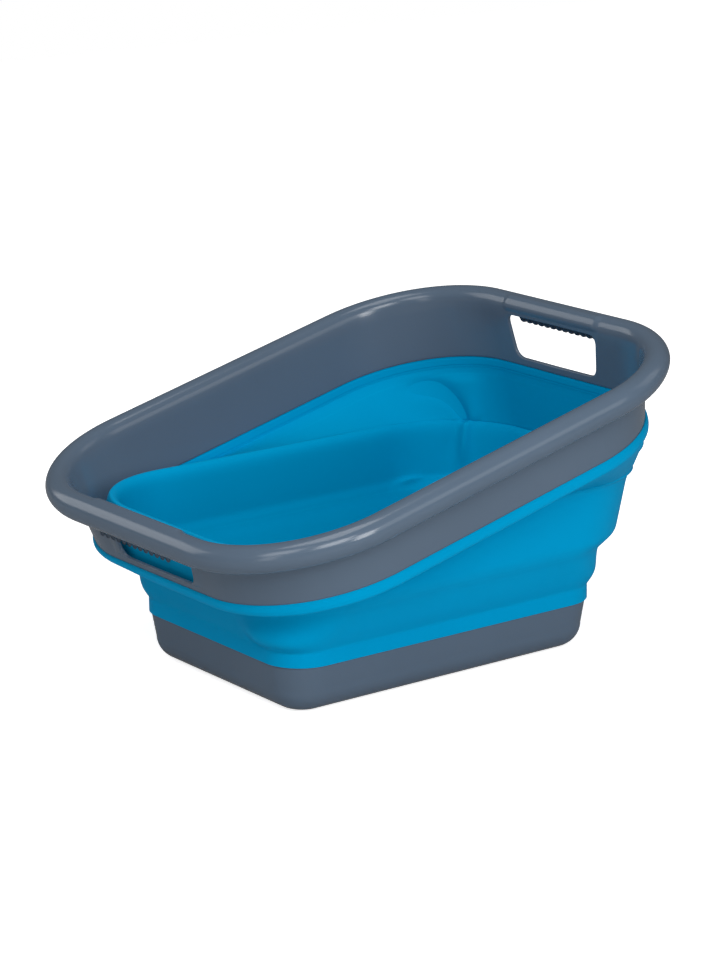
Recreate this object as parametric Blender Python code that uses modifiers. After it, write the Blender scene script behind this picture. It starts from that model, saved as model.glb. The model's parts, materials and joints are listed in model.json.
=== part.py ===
"""Collapsible laundry basket, half folded: left end down, right end up.

A rigid rim with a rolled lip and a hand slot in each end, a flexible wall in two
folding zones with a stiff ring between them, and a rigid tray.
Frame: +X along the length towards the raised end, +Z up, origin at the centre of
the tray's underside. Metres throughout.
"""

import math

import bmesh
import bpy
from mathutils import Matrix, Vector

# Tray
TRAY_LENGTH = 0.3578
TRAY_WIDTH = 0.2545
TRAY_HEIGHT = 0.0469
TRAY_CORNER_RADIUS = 0.0370
TRAY_DRAFT = 0.0042
TRAY_FOOT_RADIUS = 0.0225
TRAY_WALL = 0.0022

# Bond rib of the flexible wall on the tray
COLLAR_STEP = 0.0018
COLLAR_HEIGHT = 0.0144
COLLAR_WALL = 0.0034

# Lower folding zone and the stiff ring's stepped foot
LOWER_ZONE_HEIGHT = 0.0394
LOWER_ZONE_BULGE = 0.0035
SHOULDER_ROOM_END = 0.0182
SHOULDER_ROOM_SIDE = 0.0192
SHOULDER_CORNER_RADIUS = 0.0710
SHOULDER_HEIGHT = 0.0128
FOOT_STEP_END = 0.0227
FOOT_STEP_SIDE = 0.0035
FOOT_SAG = 0.0040
RING_CORNER_RADIUS = 0.0860

# Stiff ring
RING_HEIGHT = 0.0495
RING_FLARE_END = 0.0043
RING_FLARE_SIDE = 0.0013
CREST_ROLL = 0.0045
CREST_LEAN = 0.0050
CREST_RISE = 0.0040
RING_WALL = 0.0034

# Folding walls
WEB_WALL = 0.0016
HINGE_RUN = 0.0020
HINGE_REACH = 0.0080
FOLD_DROP_LEFT = 0.0300
FOLD_DROP_SIDE = 0.0080
FOLD_DROP_RIGHT = 0.0150
LEFT_SPLIT_SHARE = 0.20
RIGHT_SPLIT_SHARE = 0.80
SPLIT_GAP_SHARE = 0.0036
SPLIT_RUN_SHARE = 0.0120
SEAM_GAP = 0.0003

# Rim
RIM_TILT = math.radians(14.3)
RIM_RISE = 0.0135
RIM_SHIFT = 0.0010
RIM_ROOM_END = 0.0150
RIM_ROOM_SIDE = 0.04935
RIM_CORNER_RADIUS = 0.1210
RIM_WALL = 0.0025
SKIRT_HEIGHT = 0.0523
BEAD_RADIUS = 0.0130
BEAD_OVERHANG = 0.0135
BEAD_CORNER_EASE = 0.0150
BEAD_START = math.radians(165.0)
BEAD_END = math.radians(-58.0)

# Bond rib of the flexible wall under the rim
LIP_HEIGHT = 0.0095
LIP_WALL = 0.0034
LIP_PROUD = 0.0017
LIP_BEVEL = 0.0012

# Hand slots and the ribbed grips in the rolled lip above them
SLOT_LENGTH_TOP = 0.1300
SLOT_LENGTH_FOOT = 0.1120
SLOT_FOOT = 0.0062
SLOT_TOP = 0.0490
SLOT_CORNER = 0.0110
SLOT_OVERRUN = 0.0080
GRIP_PITCH = 0.0090
GRIP_RIBS = 13
GRIP_TOOTH_SHARE = 0.55
GRIP_TOOTH_DEPTH = 0.0022
GRIP_THICKNESS = 0.0098
GRIP_FIT = 0.0005
GRIP_DROP = 0.0140

# How finely round stretches are divided
ARC_STEPS = 8
LONG_STEPS = 8
SHORT_STEPS = 4
WEB_ROWS = 7
FOOT_ROWS = 5
CREST_ROWS = 3
BEAD_ROWS = 12
SLOT_ARC_STEPS = 5

GREY_PLASTIC = (0.102, 0.144, 0.202, 1.0)
BLUE_RUBBER = (0.004, 0.250, 0.480, 1.0)


class Outline:
    """A rounded rectangle seen from above: half its length and width, and its corner radius."""

    def __init__(self, half_x, half_y, radius):
        self.half_x = half_x
        self.half_y = half_y
        self.radius = radius

    def grown(self, by_end, by_side=None):
        by_side = by_end if by_side is None else by_side
        return Outline(self.half_x + by_end, self.half_y + by_side, self.radius + min(by_end, by_side))

    def cornered(self, radius):
        return Outline(self.half_x, self.half_y, radius)

    def points(self, z):
        """Points anticlockwise from above, the same number on every outline."""
        flat_x = self.half_x - self.radius
        flat_y = self.half_y - self.radius
        centres = ((flat_x, flat_y), (-flat_x, flat_y), (-flat_x, -flat_y), (flat_x, -flat_y))
        steps = (LONG_STEPS, SHORT_STEPS, LONG_STEPS, SHORT_STEPS)
        found = []
        for corner, (cx, cy) in enumerate(centres):
            for step in range(ARC_STEPS + 1):
                angle = (corner + step / ARC_STEPS) * math.pi / 2
                found.append(Vector((cx + self.radius * math.cos(angle), cy + self.radius * math.sin(angle), z)))
            nx, ny = centres[(corner + 1) % 4]
            turn = (corner + 1) * math.pi / 2
            edge = Vector((self.radius * math.cos(turn), self.radius * math.sin(turn), z))
            for step in range(1, steps[corner]):
                share = step / steps[corner]
                found.append(Vector((cx + (nx - cx) * share, cy + (ny - cy) * share, 0)) + edge)
        return found


# Outlines and heights, from the tray outwards and upwards
TRAY_TOP = Outline(TRAY_LENGTH / 2, TRAY_WIDTH / 2, TRAY_CORNER_RADIUS)
TRAY_FOOT = TRAY_TOP.grown(-TRAY_DRAFT)
COLLAR = TRAY_TOP.grown(COLLAR_STEP)
SHOULDER = TRAY_TOP.grown(SHOULDER_ROOM_END, SHOULDER_ROOM_SIDE).cornered(SHOULDER_CORNER_RADIUS)
RING_FOOT = SHOULDER.grown(FOOT_STEP_END, FOOT_STEP_SIDE).cornered(RING_CORNER_RADIUS)
CREST = RING_FOOT.grown(RING_FLARE_END, RING_FLARE_SIDE)
SKIRT = CREST.grown(RIM_ROOM_END, RIM_ROOM_SIDE).cornered(RIM_CORNER_RADIUS)

COLLAR_TOP = TRAY_HEIGHT + COLLAR_HEIGHT
SHOULDER_FOOT = COLLAR_TOP + LOWER_ZONE_HEIGHT
RING_FOOT_HEIGHT = SHOULDER_FOOT + SHOULDER_HEIGHT
CREST_HEIGHT = RING_FOOT_HEIGHT + RING_HEIGHT
RIM_CENTRE = Vector((RIM_SHIFT, 0, CREST_HEIGHT + RIM_RISE))
RIM_PLACE = Matrix.Translation(RIM_CENTRE) @ Matrix.Rotation(-RIM_TILT, 4, "Y")

# The rim's ends turn about these lines, so that the rim is level and centred once an end has moved
END_AXIS_RISE = SKIRT.half_x * math.tan(RIM_TILT / 2)
RIGHT_END_AXIS = RIM_CENTRE + Vector((SKIRT.half_x, 0, END_AXIS_RISE))
LEFT_END_AXIS = RIM_CENTRE + Vector((-SKIRT.half_x, 0, -END_AXIS_RISE))


def clear_scene():
    for old in list(bpy.data.objects):
        bpy.data.objects.remove(old)


def make_collection(name):
    made = bpy.data.collections.new(name)
    bpy.context.scene.collection.children.link(made)
    return made


def make_material(name, colour, roughness):
    material = bpy.data.materials.new(name)
    material.use_nodes = True
    shader = material.node_tree.nodes["Principled BSDF"]
    shader.inputs["Base Color"].default_value = colour
    shader.inputs["Roughness"].default_value = roughness
    shader.inputs["Metallic"].default_value = 0.0
    return material


def make_axis(name, place, parent, collection):
    empty = bpy.data.objects.new(name, None)
    collection.objects.link(empty)
    empty.parent = parent
    empty.location = place - (world_place(parent) if parent else Vector((0, 0, 0)))
    return empty


def world_place(empty):
    place = Vector((0, 0, 0))
    while empty is not None:
        place += empty.location
        empty = empty.parent
    return place


def add_part(name, mesh, material, axis, collection):
    """A sub-part whose mesh is in world coordinates, hung on the empty of its joint's axis."""
    mesh.transform(Matrix.Translation(-world_place(axis)))
    mesh.materials.append(material)
    part = bpy.data.objects.new(name, mesh)
    collection.objects.link(part)
    part.parent = axis
    mesh.shade_smooth()
    mesh.set_sharp_from_angle(angle=math.radians(40))
    return part


def loft(name, rows, foot_cap=False):
    """An open skin through closed rows of points, from the first row to the last."""
    bm = bmesh.new()
    lines = [[bm.verts.new(point) for point in row] for row in rows]
    count = len(lines[0])
    for low, high in zip(lines, lines[1:]):
        for i in range(count):
            j = (i + 1) % count
            bm.faces.new((low[i], low[j], high[j], high[i]))
    if foot_cap:
        bm.faces.new(list(reversed(lines[0])))
    mesh = bpy.data.meshes.new(name)
    bm.to_mesh(mesh)
    bm.free()
    return mesh


def thicken(part, wall, offset):
    solid = part.modifiers.new("Wall", "SOLIDIFY")
    solid.thickness = wall
    solid.offset = offset
    solid.use_even_offset = True


def rim_row(outward, height):
    """One row of the rim, given outward from the skirt's foot and up along the rim's own axis.

    The corners get a little tighter from the skirt's foot up to the rolled lip."""
    row = SKIRT.grown(outward)
    ease = BEAD_CORNER_EASE * min(max(height / SKIRT_HEIGHT, 0), 1)
    return [RIM_PLACE @ point for point in row.cornered(row.radius - ease).points(height)]


def tray(materials, axis, collection):
    rows = []
    for step in range(FOOT_ROWS + 1):
        angle = step / FOOT_ROWS * math.pi / 2
        inset = TRAY_FOOT_RADIUS * (1 - math.sin(angle))
        rows.append(TRAY_FOOT.grown(-inset).points(TRAY_FOOT_RADIUS * (1 - math.cos(angle))))
    rows.append(TRAY_TOP.points(TRAY_HEIGHT - SEAM_GAP))
    part = add_part("base_tray", loft("base_tray", rows, foot_cap=True), materials["grey"], axis, collection)
    thicken(part, TRAY_WALL, -1)


def collar(materials, axis, collection):
    rows = [COLLAR.points(TRAY_HEIGHT), COLLAR.points(COLLAR_TOP)]
    part = add_part("tray_bond_rib", loft("tray_bond_rib", rows), materials["blue"], axis, collection)
    thicken(part, COLLAR_WALL, -1)


def lower_wall(materials, axis, collection):
    """The lower folding zone, from the collar to the ring's shoulder, bowed out a little."""
    collar_middle = COLLAR.grown(-COLLAR_WALL / 2)
    low = collar_middle.points(COLLAR_TOP + HINGE_RUN)
    high = SHOULDER.points(SHOULDER_FOOT - HINGE_RUN)
    rows = [collar_middle.points(COLLAR_TOP + SEAM_GAP)]
    for step in range(WEB_ROWS + 1):
        share = step / WEB_ROWS
        bulge = LOWER_ZONE_BULGE * math.sin(math.pi * share)
        row = []
        for a, b in zip(low, high):
            middle = a.lerp(b, share)
            outward = Vector((middle.x, middle.y, 0)).normalized()
            row.append(middle + outward * bulge)
        rows.append(row)
    rows.append(SHOULDER.points(SHOULDER_FOOT - SEAM_GAP))
    part = add_part("lower_folding_wall", loft("lower_folding_wall", rows), materials["blue"], axis, collection)
    thicken(part, WEB_WALL, 0)


def along_crest(x):
    """0 at the crest's folded left end, 1 at its raised right end."""
    return min(max((x / CREST.half_x + 1) / 2, 0), 1)


def foot_row():
    """The ring's lower edge, which hangs a little lower along the sides than at the ends."""
    row = RING_FOOT.points(RING_FOOT_HEIGHT)
    return [point - Vector((0, 0, FOOT_SAG * (1 - (point.x / RING_FOOT.half_x) ** 4))) for point in row]


def crest_row(outward, fall=0):
    """A row of the ring's crest, which leans and rises a little towards the raised end."""
    row = CREST.grown(outward).points(CREST_HEIGHT - fall)
    return [point + Vector((CREST_LEAN, 0, CREST_RISE * along_crest(point.x))) for point in row]


def middle_ring(materials, axis, collection):
    """The stiff band between the folding zones, with its stepped foot and rolled crest."""
    rows = [
        SHOULDER.points(SHOULDER_FOOT),
        SHOULDER.points(SHOULDER_FOOT + HINGE_RUN),
        foot_row(),
    ]
    for step in range(CREST_ROWS + 1):
        angle = step / CREST_ROWS * math.pi / 2
        outward = CREST_ROLL * (1 - math.cos(angle))
        rows.append(crest_row(outward, CREST_ROLL * (1 - math.sin(angle))))
    part = add_part("middle_ring", loft("middle_ring", rows), materials["blue"], axis, collection)
    thicken(part, RING_WALL, 0)


def fold_drop(x):
    """How deep the upper folding zone hangs below the lip: least at the sides, most where the lip is lowest."""
    end_drop = FOLD_DROP_LEFT if x < 0 else FOLD_DROP_RIGHT
    return FOLD_DROP_SIDE + (end_drop - FOLD_DROP_SIDE) * (x / CREST.half_x) ** 2


def upper_wall_point(crest, lip, share):
    """A point across the upper folding zone, from the crest up into the lip from below.

    It leaves the crest level at the folded end, and straight towards the lip at the raised end."""
    outward = Vector((lip.x - crest.x, lip.y - crest.y, 0))
    level_pull = outward.normalized() * min(HINGE_REACH, outward.length / 2)
    direct_pull = (lip - crest).normalized() * HINGE_REACH
    start_pull = crest + level_pull.lerp(direct_pull, max(crest.x / CREST.half_x, 0))
    down = RIM_PLACE.to_3x3() @ Vector((0, 0, -1))
    end_pull = lip + down * fold_drop(crest.x)
    rest = 1 - share
    return (
        crest * rest**3
        + start_pull * (3 * rest**2 * share)
        + end_pull * (3 * rest * share**2)
        + lip * share**3
    )


def split_share(x):
    """Where across the upper zone its two parts meet, at a station of the crest at x."""
    return LEFT_SPLIT_SHARE + (RIGHT_SPLIT_SHARE - LEFT_SPLIT_SHARE) * along_crest(x)


def upper_walls(materials, fold_axis, rim_axis, collection):
    """The upper folding zone in two crescents: each gives at one end as that end of the rim moves."""
    seam_row = crest_row(CREST_ROLL + SEAM_GAP)
    start_row = crest_row(CREST_ROLL + HINGE_RUN)
    lip_row = rim_row(LIP_PROUD - LIP_WALL / 2, -LIP_HEIGHT - SEAM_GAP)
    inner_rows = [seam_row]
    outer_rows = []
    for step in range(WEB_ROWS + 2):
        inner_row = []
        outer_row = []
        for crest, lip in zip(start_row, lip_row):
            split = split_share(crest.x)
            inner_end = split - SPLIT_GAP_SHARE
            inner_run = inner_end - SPLIT_RUN_SHARE
            outer_start = split + SPLIT_GAP_SHARE
            outer_run = outer_start + SPLIT_RUN_SHARE
            inner = inner_end if step > WEB_ROWS else inner_run * step / WEB_ROWS
            outer = outer_start if step == 0 else outer_run + (1 - outer_run) * (step - 1) / WEB_ROWS
            inner_row.append(upper_wall_point(crest, lip, inner))
            outer_row.append(upper_wall_point(crest, lip, outer))
        inner_rows.append(inner_row)
        outer_rows.append(outer_row)
    for name, rows, axis in (
        ("right_folding_wall", inner_rows, fold_axis),
        ("left_folding_wall", outer_rows, rim_axis),
    ):
        part = add_part(name, loft(name, rows), materials["blue"], axis, collection)
        thicken(part, WEB_WALL, 0)


def lip_rib(materials, axis, collection):
    rows = [
        rim_row(LIP_PROUD - LIP_BEVEL, -LIP_HEIGHT),
        rim_row(LIP_PROUD, -LIP_HEIGHT + LIP_BEVEL),
        rim_row(LIP_PROUD, -SEAM_GAP - LIP_BEVEL),
        rim_row(LIP_PROUD - LIP_BEVEL, -SEAM_GAP),
    ]
    part = add_part("rim_bond_rib", loft("rim_bond_rib", rows), materials["blue"], axis, collection)
    thicken(part, LIP_WALL, -1)


def slot_cutter(side, cutters):
    """A prism with rounded corners, wider at its top, through one end of the skirt."""
    half_top = SLOT_LENGTH_TOP / 2
    half_foot = SLOT_LENGTH_FOOT / 2
    corners = ((half_foot, SLOT_FOOT), (half_top, SLOT_TOP), (-half_top, SLOT_TOP), (-half_foot, SLOT_FOOT))
    outline = []
    for i, (y, z) in enumerate(corners):
        here = Vector((y, z))
        before = Vector(corners[i - 1])
        after = Vector(corners[(i + 1) % 4])
        start = here + (before - here).normalized() * SLOT_CORNER
        end = here + (after - here).normalized() * SLOT_CORNER
        for step in range(SLOT_ARC_STEPS + 1):
            share = step / SLOT_ARC_STEPS
            outline.append(start * (1 - share) ** 2 + here * 2 * share * (1 - share) + end * share**2)
    bm = bmesh.new()
    inner_x = SKIRT.half_x - RIM_WALL - SLOT_OVERRUN
    outer_x = SKIRT.half_x + RIM_WALL + SLOT_OVERRUN / 2
    rings = [[bm.verts.new(RIM_PLACE @ Vector((side * x, p.x, p.y))) for p in outline] for x in (inner_x, outer_x)]
    bm.faces.new(rings[0])
    bm.faces.new(rings[1])
    for i in range(len(outline)):
        j = (i + 1) % len(outline)
        bm.faces.new((rings[0][i], rings[0][j], rings[1][j], rings[1][i]))
    bmesh.ops.recalc_face_normals(bm, faces=bm.faces)
    mesh = bpy.data.meshes.new("slot_cutter")
    bm.to_mesh(mesh)
    bm.free()
    cutter = bpy.data.objects.new("slot_cutter_left" if side < 0 else "slot_cutter_right", mesh)
    cutters.objects.link(cutter)
    cutter.hide_render = True
    cutter.display_type = "WIRE"
    return cutter


def rim(materials, axis, collection, cutters):
    """Skirt and rolled lip as one skin, drawn from the outer edge of the roll over to the skirt's foot."""
    rows = []
    for step in range(BEAD_ROWS + 1):
        angle = BEAD_END + (BEAD_START - BEAD_END) * step / BEAD_ROWS
        outward = BEAD_OVERHANG + BEAD_RADIUS * math.cos(angle)
        rows.append(rim_row(outward, SKIRT_HEIGHT + BEAD_RADIUS * math.sin(angle)))
    rows.append(rim_row(BEAD_OVERHANG - BEAD_RADIUS, SKIRT_HEIGHT - BEAD_RADIUS / 2))
    rows.append(rim_row(-RIM_WALL, 0))
    part = add_part("rim_frame", loft("rim_frame", rows), materials["grey"], axis, collection)
    thicken(part, RIM_WALL, -1)
    for side in (-1, 1):
        cut = part.modifiers.new("Hand slot", "BOOLEAN")
        cut.operation = "DIFFERENCE"
        cut.solver = "EXACT"
        cut.object = slot_cutter(side, cutters)


def grip(side, materials, axis, collection):
    """The ribbed grip in the hollow of the rolled lip, over one hand slot."""
    hollow = BEAD_RADIUS - RIM_WALL - GRIP_FIT
    half_length = GRIP_PITCH * GRIP_RIBS / 2
    top = SKIRT_HEIGHT + math.sqrt(hollow**2 - (GRIP_THICKNESS / 2) ** 2)
    foot = SKIRT_HEIGHT - GRIP_DROP
    root = foot + GRIP_TOOTH_DEPTH
    tooth = GRIP_PITCH * GRIP_TOOTH_SHARE
    outline = [(half_length, top), (-half_length, top)]
    for rib in range(GRIP_RIBS):
        start = -half_length + rib * GRIP_PITCH + (GRIP_PITCH - tooth) / 2
        bevel = GRIP_TOOTH_DEPTH / 3
        outline += [(start, root), (start + bevel, foot), (start + tooth - bevel, foot), (start + tooth, root)]
    outline.insert(2, (-half_length, root))
    outline.append((half_length, root))
    curve = bpy.data.curves.new("grip_outline", "CURVE")
    curve.dimensions = "2D"
    curve.fill_mode = "BOTH"
    curve.extrude = GRIP_THICKNESS / 2
    spline = curve.splines.new("POLY")
    spline.points.add(len(outline) - 1)
    for point, (y, z) in zip(spline.points, outline):
        point.co = (y, z, 0, 1)
    spline.use_cyclic_u = True
    drawn = bpy.data.objects.new("grip_outline", curve)
    collection.objects.link(drawn)
    bpy.context.view_layer.update()
    mesh = bpy.data.meshes.new_from_object(drawn.evaluated_get(bpy.context.evaluated_depsgraph_get()))
    bpy.data.objects.remove(drawn)
    bm = bmesh.new()
    bm.from_mesh(mesh)
    bmesh.ops.remove_doubles(bm, verts=bm.verts, dist=SEAM_GAP / 10)
    bm.to_mesh(mesh)
    bm.free()
    middle = side * (SKIRT.half_x + BEAD_OVERHANG)
    upright = Matrix(((0, 0, side, middle), (side, 0, 0, 0), (0, 1, 0, 0), (0, 0, 0, 1)))
    mesh.transform(RIM_PLACE @ upright)
    add_part("grip_left" if side < 0 else "grip_right", mesh, materials["grey_grip"], axis, collection)


def build():
    clear_scene()
    parts = make_collection("laundry_basket")
    cutters = make_collection("cutters")
    materials = {
        "grey": make_material("grey_moulded_plastic", GREY_PLASTIC, 0.30),
        "grey_grip": make_material("grey_grip_plastic", GREY_PLASTIC, 0.45),
        "blue": make_material("blue_elastomer", BLUE_RUBBER, 0.50),
    }
    base_axis = make_axis("base", Vector((0, 0, 0)), None, parts)
    ring_axis = make_axis("ring_slide", Vector((0, 0, SHOULDER_FOOT)), base_axis, parts)
    fold_axis = make_axis("left_end_axis", LEFT_END_AXIS, ring_axis, parts)
    rim_axis = make_axis("right_end_axis", RIGHT_END_AXIS, fold_axis, parts)
    tray(materials, base_axis, parts)
    collar(materials, base_axis, parts)
    lower_wall(materials, ring_axis, parts)
    middle_ring(materials, ring_axis, parts)
    upper_walls(materials, fold_axis, rim_axis, parts)
    lip_rib(materials, rim_axis, parts)
    rim(materials, rim_axis, parts, cutters)
    for side in (-1, 1):
        grip(side, materials, rim_axis, parts)


build()
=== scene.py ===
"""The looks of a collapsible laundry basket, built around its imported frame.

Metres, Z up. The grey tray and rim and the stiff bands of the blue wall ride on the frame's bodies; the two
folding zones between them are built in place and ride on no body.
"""

import json
import math

import bpy
import numpy as np
from mathutils import Matrix, Vector


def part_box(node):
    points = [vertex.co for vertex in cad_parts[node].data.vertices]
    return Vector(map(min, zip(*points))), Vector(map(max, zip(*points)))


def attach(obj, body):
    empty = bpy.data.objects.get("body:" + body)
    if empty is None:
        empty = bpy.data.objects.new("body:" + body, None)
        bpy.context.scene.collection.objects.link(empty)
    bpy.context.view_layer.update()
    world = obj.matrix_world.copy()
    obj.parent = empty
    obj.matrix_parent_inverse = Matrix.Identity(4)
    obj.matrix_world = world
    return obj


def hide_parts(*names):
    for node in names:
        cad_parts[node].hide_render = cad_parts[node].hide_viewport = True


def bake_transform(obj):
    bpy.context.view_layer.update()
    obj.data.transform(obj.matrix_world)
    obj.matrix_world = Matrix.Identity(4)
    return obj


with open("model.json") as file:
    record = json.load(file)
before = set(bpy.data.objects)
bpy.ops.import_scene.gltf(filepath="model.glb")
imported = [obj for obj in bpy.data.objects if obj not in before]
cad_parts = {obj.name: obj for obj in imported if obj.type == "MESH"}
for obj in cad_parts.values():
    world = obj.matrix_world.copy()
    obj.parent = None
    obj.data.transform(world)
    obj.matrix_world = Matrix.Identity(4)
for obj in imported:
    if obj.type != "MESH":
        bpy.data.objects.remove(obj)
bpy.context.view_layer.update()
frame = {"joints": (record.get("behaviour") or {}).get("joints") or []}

# Base tray
TRAY_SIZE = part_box("base_tray")[1]
TRAY_CORNER_RADIUS = 0.0370
TRAY_DRAFT = 0.0042
TRAY_FOOT_RADIUS = 0.0225
TRAY_WALL = 0.0022
TRAY_EDGE = 0.0007
TRAY_FLOOR_INSET = 0.0360
TRAY_FLOOR_CORNER = 0.0030

# Blue wall: the bond rib on the tray, the lower folding zone and the middle ring
COLLAR_STEP = 0.0018
COLLAR_HEIGHT = 0.0144
COLLAR_WALL = 0.0034
LOWER_ZONE_HEIGHT = 0.0394
LOWER_BELLY = 0.0016
LEFT_PILLOW = 0.0080
RIGHT_PILLOW = 0.0034
BACK_PILLOW_SHARE = 0.25
PILLOW_END_FADE = (-0.070, -0.040)
PILLOW_SIDE_FADE = (-0.016, 0.052)
BELLY_SKEW = 2.0
SHOULDER_ROOM_END = 0.0182
SHOULDER_ROOM_SIDE = 0.0192
SHOULDER_CORNER_RADIUS = 0.0710
SHOULDER_HEIGHT = 0.0128
FOOT_STEP_END = 0.0227
FOOT_STEP_SIDE = 0.0035
FOOT_SAG = 0.0040
FOOT_LEAN = 0.0070
FOOT_REACH = 0.0022
RING_CORNER_RADIUS = 0.0860
RING_HEIGHT = 0.0495
RING_FLARE_END = 0.0043
RING_FLARE_SIDE = 0.0013
RING_WALL = 0.0034
CREST_ROLL = 0.0045
CREST_LEAN = 0.0050
CREST_RISE = 0.0012
CREST_RISE_BACK = 0.0018
CREST_RISE_FRONT = 0.0068
CREST_REACH = 0.0055
CREST_SPREAD = 0.0045
RAISED_ROLL_CUT = 0.55
RING_ROUNDS = ((0.0055, 0.0150), (0.0040, 0.0040))
HINGE_RUN = 0.0020
WEB_WALL = 0.0016

# Blue wall: the upper folding zone and the bond rib under the rim
HINGE_REACH = 0.0080
FOLD_DROP_LEFT = 0.0050
FOLD_DROP_SIDE = 0.0030
FOLD_DROP_RIGHT = 0.0030
LEFT_SPLIT_SHARE = 0.20
RIGHT_SPLIT_SHARE = 0.80
LIP_HEIGHT = 0.0108
LIP_GAP = 0.0001
LEFT_LIP_SHARE = 0.80
BACK_LIP_SHARE = 0.25
LIP_FULL_FROM_LEFT = (-1.02, -0.82)
LIP_FULL_FROM_BACK = (-0.62, 0.05)
LIP_EASE_PASSES = 12

# The bond rib's section from the skirt down: share of its height, then its outer and inner faces
LIP_SECTION = (
    (0.00, 0.0001, -0.0025),
    (0.06, 0.0009, -0.0026),
    (0.20, 0.0017, -0.0029),
    (0.55, 0.0019, -0.0035),
    (0.84, 0.0012, -0.0040),
    (0.94, -0.0004, -0.0042),
    (1.00, -0.0018, -0.0043),
)

# Creases inside the wall, at the two corners of the raised end
CREASE_BEARING = math.radians(29.6)
CREASE_CLIMB = 0.0530
CREASE_BOW = 0.0225
WEB_GROOVE = 0.0038
GROOVE_WIDTH = 0.0034
GROOVE_SPREAD = 0.12
GROOVE_START = (-0.002, 0.008)
GROOVE_SIDE_FADE = (0.040, 0.080)
GROOVE_TOP_FADE = (0.046, 0.060)
UPPER_RIDGE_FADE = (0.016, 0.050)
RING_RIDGE = 0.0048
RIDGE_WIDTH = 0.0052
RIDGE_SPREAD = 0.05
RIDGE_START = (-0.006, 0.002)
RIDGE_FOOT_FADE = (0.018, 0.052)
PINCH = 0.0030
PINCH_BEARING = math.radians(42.2)
PINCH_SPREAD = math.radians(3.0)
PINCH_DEPTH = 0.0560
PINCH_HEIGHT = 0.0055

# Rim frame
RIM_ROOM_END = 0.0150
RIM_ROOM_SIDE = 0.04935
RIM_CORNER_RADIUS = 0.1210
RIM_WALL = 0.0025
SKIRT_HEIGHT = 0.0523
FOOT_DROP = 0.0024
BEAD_RADIUS = 0.0130
BEAD_OVERHANG = 0.0135
BEAD_CORNER_EASE = 0.0150
NECK_RISES = (0.0022, 0.0044)
BEAD_START = math.radians(165) - 0.08
BEAD_END = math.radians(-58)
SLOT_LENGTH_TOP = 0.1330
SLOT_LENGTH_FOOT = 0.1180
SLOT_FOOT = 0.0052
SLOT_TOP = 0.0490
SLOT_CORNER = 0.0110
SLOT_EDGE = 0.0012
SLOT_FLANGE = 0.0012
SLOT_MARGIN_FOOT = 0.0030
SLOT_MARGIN_TOP = 0.0035
FOOT_EDGE = 0.0003
HANDLE_SWELL = 0.0016
HANDLE_SHOULDER = 0.0045
SWELL_TOP_FADE = (88, 112)
SWELL_SIDE_FADE = (160, 178)

# Grips
GRIP_PITCH = 0.0090
GRIP_RIBS = 13
GRIP_THICKNESS = 0.0098
GRIP_FIT = 0.0005
GRIP_DROP = 0.0140
GRIP_TOOTH_DEPTH = 0.0034
GRIP_SLANT = 0.0046
GRIP_HOOK = 0.0024
GRIP_END_ROUND = 0.0016
GRIP_SECTION_POWER = 0.42
TOOTH_HALF_SHARE = 0.40
TOOTH_ROUNDING = 2.6

# Steps of the meshes
WALL_STEPS = ((84, 32, 32, 84), 46, 30)
RIM_STEPS = ((36, 36, 36, 36), 46, 60)
TRAY_STEPS = ((18, 18, 18, 18), 24, 18)
LIP_STEPS = 22
CREST_ROW = 6
SKIRT_ROWS = 28
BEAD_ROWS = 36
RISING_ROWS = 35
NECK_ROWS = (22, 36)
NECK_EASE_PASSES = 8
SLOT_MARGIN_STEPS = 2
TOOTH_STEPS = 16

# Studio: its plain fill light, and how much of the white and of the floor a reflection sees
WORLD_FILL = 0.14
REFLECTED_WHITE = 0.10
REFLECTED_FLOOR = 0.25

# The floor glows white for the camera: distance from the basket's middle axis and strength, near and far
FLOOR_HALF = 4.0
FLOOR_GAP = 0.0002
FLOOR_SHADE = 0.80
GLOW_NEAR = (0.35, 0.80)
GLOW_FAR = (1.00, 1.00)

# Lamps: name, place, size and power, all aimed at the basket's middle
LIGHT_AIM = (0, 0, 0.12)
LIGHTS = (
    ("front_softbox", (-0.05, -1.9, 0.85), (0.5, 0.8), 12),
    ("key_softbox", (-1.0, -2.0, 1.6), (1.0, 1.0), 21),
    ("right_softbox", (0.9, -2.1, 1.2), (1.0, 1.0), 4),
    ("left_softbox", (-2.0, -0.8, 1.9), (1.0, 1.0), 11),
    ("left_strip", (-2.3, -0.95, 0.7), (0.45, 1.1), 3),
    ("top_softbox", (-0.3, -0.1, 2.4), (1.3, 1.3), 16),
    ("back_softbox", (-1.5, 2.3, 1.3), (2.0, 1.4), 15),
    ("far_softbox", (1.9, -0.6, 1.6), (1.0, 1.0), 2),
)

# The camera was fitted to the photograph's outlines. The angles are in degrees.
CAMERA_PLACE = (-1.6701, -2.2682, 0.9226)
CAMERA_AZIMUTH = -36.23
CAMERA_DROP = 15.03
CAMERA_ROLL = -0.85
CAMERA_LENS = 117.1


def shares(count, start=0.0, end=1.0):
    return np.linspace(start, end, count)


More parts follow.
